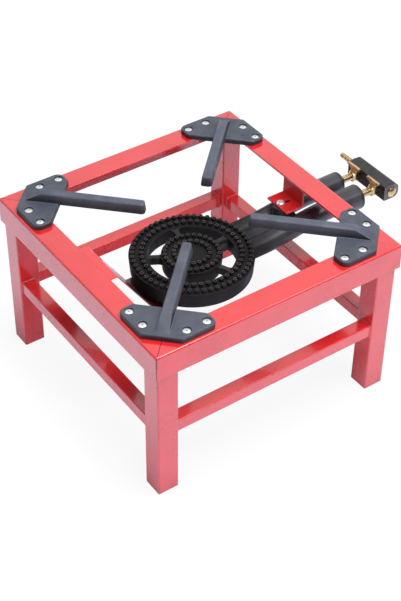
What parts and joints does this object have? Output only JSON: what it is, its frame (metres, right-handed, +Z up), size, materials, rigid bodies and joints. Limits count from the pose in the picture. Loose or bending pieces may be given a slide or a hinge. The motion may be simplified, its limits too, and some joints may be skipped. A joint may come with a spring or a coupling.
{
  "type": "cast iron gas burner",
  "caption": "Square stool-height gas burner: cast iron ring and disc with raised flame ports, twin mixing tubes with brass taps, and a welded angle stand with cast pot supports at the corners.",
  "frame": {"origin": "middle of the object's box, on the surface that it stands on", "axes": "+X towards the taps and the gas manifold, +Y towards the hose nipple, +Z up"},
  "size_m": [0.5366, 0.4, 0.277],
  "materials": {
    "red_paint": "gloss red paint",
    "grey_enamel": "satin slate grey coat on cast iron",
    "zinc": "zinc plated",
    "black_iron": "matt black cast iron",
    "black_paint": "satin black",
    "brass": "turned and cast brass"
  },
  "bodies": {
    "stand": {"rail_front": "red_paint", "stretcher_front": "red_paint", "rail_right": "red_paint", "stretcher_right": "red_paint", "rail_back": "red_paint", "stretcher_back": "red_paint", "rail_left": "red_paint", "stretcher_left": "red_paint", "leg_front_right": "red_paint", "pot_support_front_right": "grey_enamel", "leg_back_right": "red_paint", "pot_support_back_right": "grey_enamel", "leg_back_left": "red_paint", "pot_support_back_left": "grey_enamel", "leg_front_left": "red_paint", "pot_support_front_left": "grey_enamel", "pot_support_rivets": "zinc", "burner_casting": "black_iron", "front_bracket": "red_paint", "back_strap": "red_paint", "bracket_screw": "zinc", "strap_screw": "zinc", "tap_body_left": "brass", "jet_left": "brass", "tap_body_right": "brass", "jet_right": "brass", "gas_manifold": "black_paint", "manifold_plug": "brass", "hose_nipple": "brass"},
    "shutter_left": {"air_shutter_left": "black_iron"},
    "tap_plug_left": {"tap_key_left": "brass", "tap_washer_left": "brass", "tap_screw_left": "brass"},
    "shutter_right": {"air_shutter_right": "black_iron"},
    "tap_plug_right": {"tap_key_right": "brass", "tap_washer_right": "brass", "tap_screw_right": "brass"}
  },
  "joints": [
    {"name": "tap_left_turn", "type": "hinge", "parent": "stand", "child": "tap_plug_left", "pos_m": [0.2342, -0.022, 0.1965], "axis": [0, 0, 1], "range_deg": [0, 90]},
    {"name": "shutter_left_turn", "type": "hinge", "parent": "stand", "child": "shutter_left", "pos_m": [0.201, -0.022, 0.1965], "axis": [1, 0, 0], "range_deg": [0, 60]},
    {"name": "tap_right_turn", "type": "hinge", "parent": "stand", "child": "tap_plug_right", "pos_m": [0.2342, 0.022, 0.1965], "axis": [0, 0, 1], "range_deg": [0, 90]},
    {"name": "shutter_right_turn", "type": "hinge", "parent": "stand", "child": "shutter_right", "pos_m": [0.201, 0.022, 0.1965], "axis": [1, 0, 0], "range_deg": [0, 60]}
  ]
}
